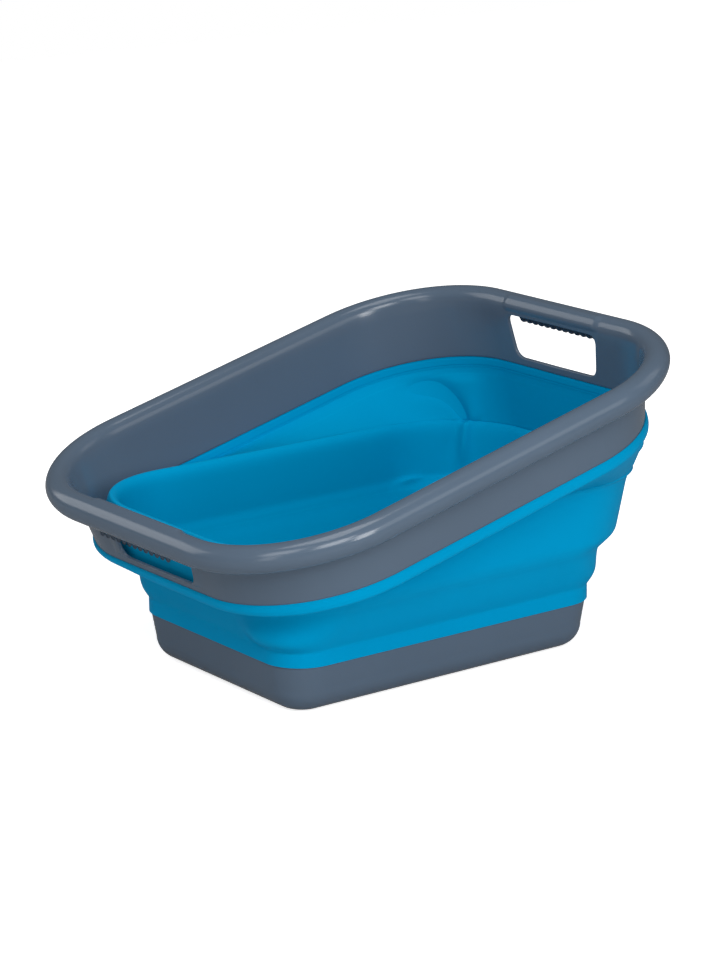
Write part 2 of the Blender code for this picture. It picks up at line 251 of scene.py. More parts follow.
def rounded_loop(half_x, half_y, radius, height, steps):
    """Points of a rounded rectangle, anticlockwise seen from above, from the near end of its right side."""
    arc_steps, long_steps, short_steps = steps
    points = []
    for corner in range(4):
        angle = (corner + shares(arc_steps[corner] + 1)[:-1]) * math.pi / 2
        sign_x = 1 if corner in (0, 3) else -1
        sign_y = 1 if corner in (0, 1) else -1
        centre = np.array((sign_x * (half_x - radius), sign_y * (half_y - radius)))
        straight = short_steps if corner in (0, 2) else long_steps
        half_run = half_y - radius if corner in (0, 2) else half_x - radius
        along = np.array((-math.sin(corner * math.pi / 2), math.cos(corner * math.pi / 2)))
        start = centre + radius * np.array((math.cos(angle[0]), math.sin(angle[0])))
        run = np.linspace(-2 * half_run, 0, straight, endpoint=False)
        points.append(start + run[:, None] * along)
        points.append(centre + radius * np.stack((np.cos(angle), np.sin(angle)), -1))
    points = np.concatenate(points)
    return np.column_stack((points, np.full(len(points), height)))


class Outline:
    """A rounded rectangle about the basket's middle axis."""

    def __init__(self, half_x, half_y, radius):
        self.half_x = half_x
        self.half_y = half_y
        self.radius = radius

    def grown(self, by_end, by_side=None):
        by_side = by_end if by_side is None else by_side
        return Outline(self.half_x + by_end, self.half_y + by_side, self.radius + min(by_end, by_side))

    def cornered(self, radius):
        return Outline(self.half_x, self.half_y, radius)

    def loop(self, height, steps):
        return rounded_loop(self.half_x, self.half_y, self.radius, height, steps)


TRAY_TOP = Outline(TRAY_SIZE.x, TRAY_SIZE.y, TRAY_CORNER_RADIUS)
TRAY_FOOT = TRAY_TOP.grown(-TRAY_DRAFT)
COLLAR = TRAY_TOP.grown(COLLAR_STEP)
SHOULDER = TRAY_TOP.grown(SHOULDER_ROOM_END, SHOULDER_ROOM_SIDE).cornered(SHOULDER_CORNER_RADIUS)
RING_FOOT = SHOULDER.grown(FOOT_STEP_END, FOOT_STEP_SIDE).cornered(RING_CORNER_RADIUS)
CREST = RING_FOOT.grown(RING_FLARE_END, RING_FLARE_SIDE)
SKIRT = CREST.grown(RIM_ROOM_END, RIM_ROOM_SIDE).cornered(RIM_CORNER_RADIUS)

COLLAR_TOP = TRAY_SIZE.z + COLLAR_HEIGHT
SHOULDER_FOOT = COLLAR_TOP + LOWER_ZONE_HEIGHT
RING_FOOT_HEIGHT = SHOULDER_FOOT + SHOULDER_HEIGHT
CREST_HEIGHT = RING_FOOT_HEIGHT + RING_HEIGHT

# The rim lies between the axes of the two end joints.
JOINT_PLACES = {joint["name"]: Vector(joint["pos_m"]) for joint in frame["joints"] if "pos_m" in joint}
LEFT_AXIS = JOINT_PLACES["right_end_fold"]
RIGHT_AXIS = JOINT_PLACES["left_end_lift"]
RIM_TILT = math.atan2(RIGHT_AXIS.z - LEFT_AXIS.z, RIGHT_AXIS.x - LEFT_AXIS.x) * 2
RIM_CENTRE = (LEFT_AXIS + RIGHT_AXIS) / 2
RIM_PLACE = Matrix.Translation(RIM_CENTRE) @ Matrix.Rotation(-RIM_TILT, 4, "Y")


def placed_on_rim(points):
    """Points of the rim's own upright drawing, set on the tilted rim."""
    turn = np.array(RIM_PLACE.to_3x3())
    return np.asarray(points) @ turn.T + np.array(RIM_CENTRE)


def upright_rim_loop(outward, height, steps):
    """A line round the rim before it tilts. Its corners get tighter from the skirt's foot up to the bead."""
    row = SKIRT.grown(outward)
    ease = BEAD_CORNER_EASE * np.clip(height / SKIRT_HEIGHT, 0, 1)
    return row.cornered(row.radius - ease).loop(height, steps)


def rim_loop(outward, height, steps):
    return placed_on_rim(upright_rim_loop(outward, height, steps))


def crest_loop(outward):
    """A line round the crest, which leans and widens towards the raised end and rises most in front."""
    loop = CREST.loop(CREST_HEIGHT, WALL_STEPS)
    raised = np.clip((loop[:, 0] / CREST.half_x + 1) / 2, 0, 1)
    outer = CREST.grown(outward).loop(CREST_HEIGHT, WALL_STEPS)
    loop += (outer - loop) * (1 - RAISED_ROLL_CUT * raised**2)[:, None]
    front = (1 - loop[:, 1] / CREST.half_y) / 2
    rise_back = CREST_RISE_BACK + (CREST_RISE - CREST_RISE_BACK) * raised
    rise = front * raised * CREST_RISE_FRONT + (1 - front) * rise_back
    spread = loop[:, 1] / CREST.half_y * CREST_SPREAD * raised**3
    return loop + np.column_stack((CREST_LEAN + CREST_REACH * raised**3, spread, rise))


def foot_loop():
    """The ring's lower edge, which hangs a little lower along the sides than at the ends."""
    loop = RING_FOOT.loop(RING_FOOT_HEIGHT, WALL_STEPS)
    along = loop[:, 0] / RING_FOOT.half_x
    loop[:, 2] -= FOOT_SAG * (1 - along**4)
    loop[:, 0] += FOOT_LEAN * np.clip(-along, 0, 1) + FOOT_REACH * np.clip(along, 0, 1)
    return loop


def smooth_step(value, low, high):
    share = np.clip((value - low) / (high - low), 0, 1)
    return share * share * (3 - 2 * share)


def bell(value, middle, width):
    return np.exp(-(((value - middle) / width) ** 2))


def unit(vectors):
    return vectors / np.maximum(np.linalg.norm(vectors, axis=-1, keepdims=True), 1e-12)


# Meshes


def new_piece(name, vertices, faces, normals=None):
    """A smooth piece of the basket. Where normals are given, they are one per face corner."""
    mesh = bpy.data.meshes.new(name)
    if normals is not None:
        faces = np.asarray(faces).tolist()
    mesh.from_pydata(np.asarray(vertices).tolist(), [], faces)
    mesh.polygons.foreach_set("use_smooth", np.ones(len(mesh.polygons), bool))
    mesh.update()
    if normals is not None:
        mesh.normals_split_custom_set(np.asarray(normals).tolist())
    piece = bpy.data.objects.new(name, mesh)
    bpy.context.scene.collection.objects.link(piece)
    return piece


def grid_normals(grid):
    """Unit normals of a grid of rows by stations, where the stations close on themselves. They point outward
    where the rows go down and the stations anticlockwise."""
    across = np.roll(grid, -1, axis=1) - np.roll(grid, 1, axis=1)
    down = np.gradient(grid, axis=0)
    return unit(np.cross(down, across))


def grid_faces(first, rows, stations, flip=False):
    """Quads of a closed grid whose vertices start at number first."""
    row, station = np.meshgrid(np.arange(rows - 1), np.arange(stations), indexing="ij")
    after = (station + 1) % stations
    corners = [row * stations + station, (row + 1) * stations + station]
    corners += [(row + 1) * stations + after, row * stations + after]
    quads = np.stack([c.ravel() for c in corners], -1) + first
    return quads[:, ::-1] if flip else quads


def closed_shell(name, outer, inner, outer_normals, inner_normals):
    """A thin closed piece between an outer and an inner grid, joined along its first and last rows."""
    rows, stations = outer.shape[:2]
    size = rows * stations
    vertices = np.concatenate((outer.reshape(-1, 3), inner.reshape(-1, 3)))
    here = np.arange(stations)
    after = (here + 1) % stations
    low = (rows - 1) * stations
    top_strip = np.stack((here, after, size + after, size + here), -1)
    foot_strip = np.stack((low + here, size + low + here, size + low + after, low + after), -1)
    outer_faces = grid_faces(0, rows, stations)
    inner_faces = grid_faces(size, rows, stations, True)
    faces = np.concatenate((outer_faces, inner_faces, top_strip, foot_strip))
    skins = np.concatenate((outer_normals.reshape(-1, 3), inner_normals.reshape(-1, 3)))
    normals = skins[faces]
    for strip in (slice(-2 * stations, -stations), slice(-stations, None)):
        corners = vertices[faces[strip]]
        flat = unit(np.cross(corners[:, 1] - corners[:, 0], corners[:, 3] - corners[:, 0]))
        normals[strip] = flat[:, None, :]
    return new_piece(name, vertices, faces, normals.reshape(-1, 3))


def bend(piece, zone_shares):
    """Writes each vertex's share across its zone, from 0 to 1, into its place for a moment, bakes the piece's
    placing into its mesh and puts the vertices back.
    """
    places = np.zeros(len(piece.data.vertices) * 3)
    piece.data.vertices.foreach_get("co", places)
    laid_out = np.zeros((len(piece.data.vertices), 3))
    laid_out[:, 2] = zone_shares
    piece.data.vertices.foreach_set("co", laid_out.ravel())
    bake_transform(piece)
    piece.data.vertices.foreach_set("co", places)
    piece.data.update()


# The blue wall


def rounded_path(loops, rounds, straight_rows, round_rows):
    """Loops down a profile through given loops, with each inner corner rounded over its two lengths."""
    path = [loops[0]]
    for i in range(1, len(loops)):
        start = path[-1]
        if i == len(loops) - 1:
            path += [start + (loops[i] - start) * s for s in shares(straight_rows[i - 1] + 1)[1:]]
            break
        before = unit(loops[i - 1] - loops[i]) * rounds[i - 1][0]
        after = unit(loops[i + 1] - loops[i]) * rounds[i - 1][1]
        path += [start + (loops[i] + before - start) * s for s in shares(straight_rows[i - 1] + 1)[1:]]
        for s in shares(round_rows + 1)[1:]:
            path.append(
                (loops[i] + before) * (1 - s) ** 2 + loops[i] * (2 * s * (1 - s)) + (loops[i] + after) * s**2
            )
    return path


def eased_section(section, share):
    """The faces of a section at a share of its height, with its corners eased."""
    fine = shares(401, -0.5, 1.5)
    window = np.hanning(33)
    faces = []
    for column in (1, 2):
        line = np.interp(fine, section[:, 0], section[:, column])
        slope = (section[-1, column] - section[-2, column]) / (section[-1, 0] - section[-2, 0])
        line += np.maximum(fine - 1, 0) * slope
        faces.append(np.interp(share, fine, np.convolve(line, window / window.sum(), "same")))
    return faces


def lip_band():
    """The bond rib that hangs from the rim's skirt, with the wall's half thickness at each row.

    It hangs less at the folded left end."""
    section = np.array(LIP_SECTION)
    loops = []
    halves = []
    foot = rim_loop(0, 0, WALL_STEPS)
    toward_right = smooth_step(foot[:, 0] / SKIRT.half_x, *LIP_FULL_FROM_LEFT)
    toward_front = smooth_step(-foot[:, 1] / SKIRT.half_y, *LIP_FULL_FROM_BACK)
    left_share = BACK_LIP_SHARE + (LEFT_LIP_SHARE - BACK_LIP_SHARE) * toward_front
    height = LIP_HEIGHT * (left_share + (1 - left_share) * toward_right)
    down = np.array(RIM_PLACE.to_3x3() @ Vector((0, 0, -1)))
    for share in shares(LIP_STEPS):
        outer, inner = eased_section(section, share)
        loop = rim_loop((outer + inner) / 2, -FOOT_DROP - LIP_GAP, WALL_STEPS)
        loops.append(loop + down * (share * height)[:, None])
        halves.append((outer - inner) / 2)
    return loops, halves


def web_bands(lip):
    """The upper folding zone in two crescents, from the lip's foot down to the crest."""
    crest = crest_loop(CREST_ROLL + HINGE_RUN)
    level = (lip - crest) * np.array((1, 1, 0))
    room = np.linalg.norm(level, axis=1, keepdims=True)
    along = crest[:, :1] / CREST.half_x
    raised = np.clip((along + 1) / 2, 0, 1)
    down = np.array(RIM_PLACE.to_3x3() @ Vector((0, 0, -1)))
    level_pull = level / room * np.minimum(HINGE_REACH, room / 2)
    direct_pull = unit(lip - crest) * HINGE_REACH
    start_pull = crest + level_pull + (direct_pull - level_pull) * np.clip(along, 0, 1)
    end_drop = np.where(along < 0, FOLD_DROP_LEFT, FOLD_DROP_RIGHT)
    end_pull = lip + down * (FOLD_DROP_SIDE + (end_drop - FOLD_DROP_SIDE) * along**2)
    split = LEFT_SPLIT_SHARE + (RIGHT_SPLIT_SHARE - LEFT_SPLIT_SHARE) * raised

    def across(share):
        rest = 1 - share
        near_crest = crest * rest**3 + start_pull * (3 * rest**2 * share)
        return near_crest + end_pull * (3 * rest * share**2) + lip * share**3

    outer = [across(1 - (1 - split) * s) for s in shares(25)[1:]]
    inner = [across(split * (1 - s)) for s in shares(23)[1:]]
    return outer, inner


def ring_band(crest):
    """The stiff middle ring, from the crest's outer edge round its roll and down to the shoulder."""
    loops = [
        crest,
        crest_loop(0),
        foot_loop(),
        SHOULDER.loop(SHOULDER_FOOT, WALL_STEPS),
    ]
    return rounded_path(loops, RING_ROUNDS, (2, 13, 6), 9)[1:]


def pillow_measure(loop):
    """How far each station lies in the pillow at a corner: 1 at its fullest, 0 away from the corners.

    The pillow ends sharply towards the basket's end and slowly along its side."""
    arc_steps, long_steps, short_steps = WALL_STEPS
    step = np.linalg.norm(np.roll(loop, -1, axis=0) - loop, axis=1)
    along = np.concatenate(([0], np.cumsum(step)[:-1]))
    around = step.sum()
    measure = np.zeros(len(loop))
    runs = (short_steps, arc_steps[0] + long_steps, arc_steps[1] + short_steps, arc_steps[2] + long_steps)
    for start, steps, toward_side in zip(np.cumsum(runs), arc_steps, (1, -1, 1, -1)):
        middle = along[start + steps // 2]
        run = ((along - middle + around / 2) % around - around / 2) * toward_side
        measure += smooth_step(run, *PILLOW_END_FADE) * (1 - smooth_step(run, *PILLOW_SIDE_FADE))
    return measure


def lower_band(shoulder):
    """The lower folding zone between the shoulder and the collar, with a pillow at each corner."""
    collar_middle = COLLAR.grown(-COLLAR_WALL / 2)
    foot = collar_middle.loop(COLLAR_TOP, WALL_STEPS)
    toward_left = 1 - smooth_step(foot[:, 0], -0.5 * COLLAR.half_x, 0.9 * COLLAR.half_x)
    pillow = RIGHT_PILLOW + (LEFT_PILLOW - RIGHT_PILLOW) * toward_left
    at_back = smooth_step(foot[:, 1], -0.2 * COLLAR.half_y, 0.4 * COLLAR.half_y)
    pillow *= 1 - (1 - BACK_PILLOW_SHARE) * at_back
    belly = LOWER_BELLY + pillow * pillow_measure((foot + shoulder) / 2)
    outward = unit(foot * np.array((1, 1, 0)) + shoulder * np.array((1, 1, 0)))
    loops = []
    for share in shares(31)[1:]:
        bow = np.sin(math.pi * share**BELLY_SKEW)
        loops.append(shoulder + (foot - shoulder) * share + outward * (belly * bow)[:, None])
    return loops


def collar_band():
    collar_middle = COLLAR.grown(-COLLAR_WALL / 2)
    falls = np.concatenate((shares(6, 0.04, 0.3), shares(6, 0.45, 0.94), [0.98, 1.0]))
    return [collar_middle.loop(height, WALL_STEPS) for height in COLLAR_TOP - COLLAR_HEIGHT * falls]


def soften(grid, rows, passes):
    """Eases the profile over some rows, with their ends held."""
    first, last = rows
    for _ in range(passes):
        part = grid[first - 1 : last + 2]
        grid[first : last + 1] = part[:-2] * 0.25 + part[1:-1] * 0.5 + part[2:] * 0.25


def inner_creases(grid, ends):
    """How far the wall's inner side is pushed in by the creases at the two corners of the raised end.

    A groove climbs from the crest towards the bond rib, with a ridge above it. A ridge runs down the ring."""
    crest = ends[2] + CREST_ROW
    step = np.linalg.norm(np.diff(grid, axis=0), axis=2)
    run = np.concatenate((np.zeros((1, grid.shape[1])), np.cumsum(step, axis=0)))
    up = run[crest] - run
    bearing = np.arctan2(np.abs(grid[:, :, 1]), grid[:, :, 0])
    aside = (bearing - CREASE_BEARING) * np.hypot(grid[:, :, 0], grid[:, :, 1])
    reach = np.hypot(aside, up)

    fall = np.exp(-np.maximum(aside, 0) / CREASE_BOW)
    line = np.where(aside > 0, CREASE_CLIMB * (1 - fall), aside * CREASE_CLIMB / CREASE_BOW)
    slope = CREASE_CLIMB / CREASE_BOW * fall
    off = (up - line) / np.sqrt(1 + slope**2)
    width = GROOVE_WIDTH + GROOVE_SPREAD * reach
    ridge = bell(off, 1.9 * width, 1.2 * width) * (1 - smooth_step(aside, *UPPER_RIDGE_FADE))
    climb = 0.7 * ridge - bell(off, 0, width)
    climb *= smooth_step(up + 0.6 * aside, *GROOVE_START) * (1 - smooth_step(aside, *GROOVE_SIDE_FADE))
    climb *= 1 - smooth_step(up, *GROOVE_TOP_FADE)

    width = RIDGE_WIDTH + RIDGE_SPREAD * np.abs(up)
    corner = bell(aside, 0, width) - 0.35 * bell(aside, 2.0 * width, 1.3 * width)
    corner *= smooth_step(-up, *RIDGE_START) * (1 - smooth_step(-up, *RIDGE_FOOT_FADE))
    pinch = bell(bearing, PINCH_BEARING, PINCH_SPREAD) * bell(-up, PINCH_DEPTH, PINCH_HEIGHT)
    return WEB_GROOVE * climb + RING_RIDGE * corner + PINCH * pinch


def blue_wall():
    """The whole wall as one grid, then as its bands, which meet without a step."""
    lip, lip_halves = lip_band()
    outer_web, inner_web = web_bands(lip[-1])
    ring = ring_band(inner_web[-1])
    lower = lower_band(ring[-1])
    collar = collar_band()
    bands = (lip, outer_web, inner_web, ring, lower, collar)
    names = (
        "rim_bond_rib",
        "left_folding_wall",
        "right_folding_wall",
        "middle_ring",
        "lower_folding_wall",
        "tray_bond_rib",
    )
    ends = np.cumsum([len(band) for band in bands]) - 1
    starts = np.concatenate(([0], ends[:-1]))
    grid = np.stack([loop for band in bands for loop in band])
    soften(grid, (ends[0] + 1, ends[2] + 6), 3)
    soften(grid, (ends[3] - 8, ends[4] + 3), 6)

    halves = np.full(len(grid), WEB_WALL / 2)
    halves[: len(lip)] = lip_halves
    halves[ends[2] : ends[3] + 1] = RING_WALL / 2
    halves[ends[4] : ends[5] + 1] = COLLAR_WALL / 2
    for _ in range(LIP_EASE_PASSES):
        eased = halves.copy()
        eased[1:-1] = halves[:-2] * 0.25 + halves[1:-1] * 0.5 + halves[2:] * 0.25
        halves[ends[0] + 2 :] = eased[ends[0] + 2 :]

    normals = grid_normals(grid)
    outer = grid + normals * halves[:, None, None]
    inner = grid - normals * (halves[:, None] + inner_creases(grid, ends))[:, :, None]
    outer_normals = grid_normals(outer)
    inner_normals = -grid_normals(inner)
    pieces = {}
    for name, start, end in zip(names, starts, ends):
        rows = slice(start, end + 1)
        sides = [side[rows] for side in (outer, inner, outer_normals, inner_normals)]
        pieces[name] = closed_shell(name + "_skin", *sides)
    stations = grid.shape[1]

    def zone(start, end, upward):
        down = np.repeat(shares(end - start + 1), stations)
        both = np.concatenate((down, down))
        return 1 - both if upward else both

    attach(pieces["rim_bond_rib"], "rim")
    bend(pieces["left_folding_wall"], zone(starts[1], ends[1], True))
    bend(pieces["right_folding_wall"], zone(starts[2], ends[2], True))
    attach(pieces["middle_ring"], "ring")
    bend(pieces["lower_folding_wall"], zone(starts[4], ends[4], True))
    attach(pieces["tray_bond_rib"], "tray")
    for name, piece in pieces.items():
        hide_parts(name)
    return list(pieces.values())


# The rim


def rim_section():
    """The rim's cross-section, as a closed line of (outward, height): up the inside of the skirt, over the
    rolled bead to its outer edge, and back along the underside. Also the last row of the first half."""
    skirt_heights = shares(SKIRT_ROWS, FOOT_EDGE - FOOT_DROP, SKIRT_HEIGHT - BEAD_RADIUS / 2)
    top_out = BEAD_OVERHANG - BEAD_RADIUS
    path = [(-RIM_WALL + (top_out + RIM_WALL) * h / skirt_heights[-1], h) for h in skirt_heights]
    path += [(top_out, SKIRT_HEIGHT - BEAD_RADIUS / 2 + rise) for rise in NECK_RISES]
    bead_middle = np.array((BEAD_OVERHANG, SKIRT_HEIGHT))
    for angle in np.linspace(BEAD_START, BEAD_END, BEAD_ROWS):
        path.append(bead_middle + BEAD_RADIUS * np.array((math.cos(angle), math.sin(angle))))
    path = np.array(path)
    first, after = NECK_ROWS
    for _ in range(NECK_EASE_PASSES):
        part = path[first - 1 : after + 1]
        path[first:after] = part[:-2] * 0.25 + part[1:-1] * 0.5 + part[2:] * 0.25
    along = unit(np.gradient(path, axis=0))
    inward = np.stack((along[:, 1], -along[:, 0]), -1)
    under = (path + inward * RIM_WALL)[::-1]
    end_middle = (path[-1] + under[0]) / 2
    foot_middle = (path[0] + under[-1]) / 2
    half = RIM_WALL / 2

    def round_end(middle, radial, axial, fall):
        angles = np.radians((36, 72, 108, 144))
        return [middle + radial * half * math.cos(a) + axial * fall * math.sin(a) for a in angles]

    bead_edge = round_end(end_middle, -inward[-1], along[-1], half)
    foot_edge = round_end(foot_middle, inward[0], -along[0], FOOT_EDGE)
    section = np.concatenate((path, bead_edge, under, foot_edge))
    return section, len(path), len(path) + len(bead_edge)


def slot_reach(angles):
    """How far the hand slot's edge lies from its middle, in each direction seen from inside."""
    half_top = SLOT_LENGTH_TOP / 2
    half_foot = SLOT_LENGTH_FOOT / 2
    corners = ((half_foot, SLOT_FOOT), (half_top, SLOT_TOP), (-half_top, SLOT_TOP), (-half_foot, SLOT_FOOT))
    corners = np.array(corners)
    edge = []
    for i, here in enumerate(corners):
        before = corners[i - 1]
        after = corners[(i + 1) % 4]
        start = here + unit(before - here) * SLOT_CORNER
        end = here + unit(after - here) * SLOT_CORNER
        next_start = after + unit(here - after) * SLOT_CORNER
        for s in shares(24):
            edge.append(start * (1 - s) ** 2 + here * 2 * s * (1 - s) + end * s**2)
        edge += [end + (next_start - end) * s for s in shares(60)[1:-1]]
    edge = np.array(edge) - np.array((0, (SLOT_FOOT + SLOT_TOP) / 2))
    bearing = np.arctan2(edge[:, 1], edge[:, 0])
    order = np.argsort(bearing)
    bearing = bearing[order]
    reach = np.linalg.norm(edge, axis=1)[order]
    return np.interp(angles, bearing, reach, period=2 * math.pi)


def slot_rings(side, boundary, under_boundary, section, turning):
    """Rings of points from the skirt's inner face, over the slot's rounded edge and through the wall, to its
    outer face. The first and last rings are the grid's own boundaries and aren't among them."""
    path = section[:turning]
    under = section[turning:][::-1]
    middle = np.array((0, (SLOT_FOOT + SLOT_TOP) / 2))

    def face(heights, line):
        rising = line[: np.argmax(line[:, 1]) + 1]
        return np.interp(heights, rising[:, 1], rising[:, 0])

    arm = boundary - middle
    bearing = np.arctan2(arm[:, 1], arm[:, 0])
    ray = unit(arm)
    edge = middle + ray * slot_reach(bearing)[:, None]
    rings = []

    def add(flat, outward):
        rings.append(np.column_stack((side * (SKIRT.half_x + outward), flat)))

    rounding = np.radians((0, 22, 45, 68, 90))
    rim_of_slot = edge + ray * SLOT_EDGE
    for share in (0.3, 0.6, 0.85):
        flat = boundary + (rim_of_slot - boundary) * share
        add(flat, face(flat[:, 1], path))
    for a in rounding:
        flat = edge + ray * SLOT_EDGE * (1 - math.sin(a))
        add(flat, face(flat[:, 1], path) + SLOT_EDGE * (1 - math.cos(a)))
    for a in rounding[::-1]:
        flat = edge + ray * SLOT_EDGE * (1 - math.sin(a))
        add(flat, face(flat[:, 1], under) + SLOT_FLANGE - SLOT_EDGE * (1 - math.cos(a)))
    for share, swell in ((0.7, 1.0), (0.5, 0.5), (0.3, 0.0)):
        flat = under_boundary + (rim_of_slot - under_boundary) * share
        add(flat, face(flat[:, 1], under) + SLOT_FLANGE * swell)
    return rings


def rim_frame():
    """The grey rim: skirt, rolled bead and the hand slots in its ends, as one closed mesh."""
    section, path_rows, under_start = rim_section()
    rows = len(section)
    loops = np.stack([upright_rim_loop(out, height, RIM_STEPS) for out, height in section])
    stations = loops.shape[1]
    swell_handles(loops, section, path_rows)
    vertices = [loops.reshape(-1, 3)]
    arc_steps, long_steps, short_steps = RIM_STEPS
    heights = section[:path_rows, 1]
    low_row = int(np.searchsorted(heights, SLOT_FOOT - SLOT_MARGIN_FOOT))
    high_row = int(np.searchsorted(heights[:RISING_ROWS], SLOT_TOP + SLOT_MARGIN_TOP))
    mirror = under_start + path_rows - 1
    removed = np.zeros((rows, stations), bool)
    patch_faces = []
    count = rows * stations
    for side, first in ((1, 0), (-1, short_steps + long_steps + arc_steps[0] + arc_steps[1])):
        left, right = first + SLOT_MARGIN_STEPS, first + short_steps - SLOT_MARGIN_STEPS
        removed[low_row:high_row, left:right] = True
        removed[mirror - high_row : mirror - low_row, left:right] = True
        ring = [(low_row, s) for s in range(left, right)]
        ring += [(r, right) for r in range(low_row, high_row)]
        ring += [(high_row, s) for s in range(right, left, -1)]
        ring += [(r, left) for r in range(high_row, low_row, -1)]
        ring = np.array(ring)
        under_ring = np.column_stack((mirror - ring[:, 0], ring[:, 1]))
        boundary = loops[ring[:, 0], ring[:, 1]][:, 1:]
        under_boundary = loops[under_ring[:, 0], under_ring[:, 1]][:, 1:]
        numbers = [ring[:, 0] * stations + ring[:, 1]]
        for points in slot_rings(side, boundary, under_boundary, section, path_rows):
            vertices.append(points)
            numbers.append(count + np.arange(len(points)))
            count += len(points)
        numbers.append(under_ring[:, 0] * stations + under_ring[:, 1])
        for outside, inside in zip(numbers, numbers[1:]):
            quads = np.stack((outside, np.roll(outside, -1), np.roll(inside, -1), inside), -1)
            patch_faces.append(quads)
    row, station = np.nonzero(~removed)
    after_row = (row + 1) % rows
    after = (station + 1) % stations
    corners = ((row, station), (row, after), (after_row, after), (after_row, station))
    quads = np.stack([corner_row * stations + corner_station for corner_row, corner_station in corners], -1)
    faces = np.concatenate([quads] + patch_faces)[:, ::-1]
    piece = new_piece("rim_frame_moulding", placed_on_rim(np.concatenate(vertices)), faces.tolist())
    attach(piece, "rim")
    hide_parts("rim_frame")
    return piece


def swell_handles(loops, section, path_rows):
    """Fills the bead's inner side out a little over each hand slot, where it is gripped."""
    rise = section[:path_rows] - np.array((BEAD_OVERHANG, SKIRT_HEIGHT))
    angle = np.degrees(np.arctan2(rise[:, 1], rise[:, 0]))
    amount = HANDLE_SWELL * smooth_step(angle, *SWELL_TOP_FADE) * (1 - smooth_step(angle, *SWELL_SIDE_FADE))
    outward = unit(rise)
    half_grip = SLOT_LENGTH_TOP / 2 + HANDLE_SHOULDER
    for row in np.nonzero(amount > 1e-6)[0]:
        x, y = loops[row, :, 0], loops[row, :, 1]
        at_end = np.abs(x) > SKIRT.half_x - SKIRT.radius / 2
        window = (1 - smooth_step(np.abs(y), half_grip - HANDLE_SHOULDER, half_grip)) * at_end
        loops[row, :, 0] += np.sign(x) * outward[row, 0] * amount[row] * window
        loops[row, :, 2] += outward[row, 1] * amount[row] * window


# The grips


def grip(side):
    """The ribbed insert in the bead's hollow over one hand slot, with rounded ribs along its foot."""
    hollow = BEAD_RADIUS - RIM_WALL - GRIP_FIT
    half_wide = GRIP_THICKNESS / 2
    top = SKIRT_HEIGHT + math.sqrt(hollow**2 - half_wide**2)
    foot = SKIRT_HEIGHT - GRIP_DROP
    half_length = GRIP_PITCH * GRIP_RIBS / 2
    along = np.linspace(-half_length, half_length, GRIP_RIBS * TOOTH_STEPS + 1)
    phase = ((along + half_length) / GRIP_PITCH) % 1.0
    tooth = np.sqrt(np.clip(1 - (np.abs(phase - 0.5) / TOOTH_HALF_SHARE) ** TOOTH_ROUNDING, 0, 1))
    around = np.linspace(0, 2 * math.pi, 40, endpoint=False)
    cross_x = np.sign(np.cos(around)) * np.abs(np.cos(around)) ** GRIP_SECTION_POWER * half_wide
    cross_z = np.sign(np.sin(around)) * np.abs(np.sin(around)) ** GRIP_SECTION_POWER
    middle = (top + foot) / 2
    half_high = (top - foot) / 2
    to_end = np.minimum(half_length - np.abs(along), GRIP_END_ROUND) / GRIP_END_ROUND
    round_off = np.sqrt(np.clip(1 - (1 - to_end) ** 2, 0.02, 1))
    rings = []
    for y, lift, shrink in zip(along, 1 - tooth, round_off):
        low_share = smooth_step(-cross_z, 0.2, 1.0)
        z = middle + cross_z * half_high + low_share * lift * GRIP_TOOTH_DEPTH
        z = middle + (z - middle) * (0.86 + 0.14 * shrink)
        z = z - GRIP_SLANT * low_share * smooth_step(cross_x / half_wide, -0.2, 1.0)
        waist = 1 - 0.10 * low_share * lift
        x = cross_x * waist * (0.8 + 0.2 * shrink)
        x = x + GRIP_HOOK * smooth_step(-cross_z, 0.86, 1.0) * smooth_step(cross_x / half_wide, -0.2, 1.0)
        rings.append(np.column_stack((SKIRT.half_x + BEAD_OVERHANG + x, np.full(len(x), y), z)))
    grid = np.stack(rings)
    count, size = grid.shape[:2]
    vertices = placed_on_rim(grid.reshape(-1, 3) * np.array((side, 1, 1)))
    faces = grid_faces(0, count, size).tolist()
    faces.append(list(range(size - 1, -1, -1))[::-1])
    faces.append(list(range((count - 1) * size, count * size))[::-1])
    if side > 0:
        faces = [face[::-1] for face in faces]
    name = "grip_right" if side > 0 else "grip_left"
    piece = new_piece(name + "_ribs", vertices, faces)
    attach(piece, "rim")
    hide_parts(name)
    return piece


# The tray


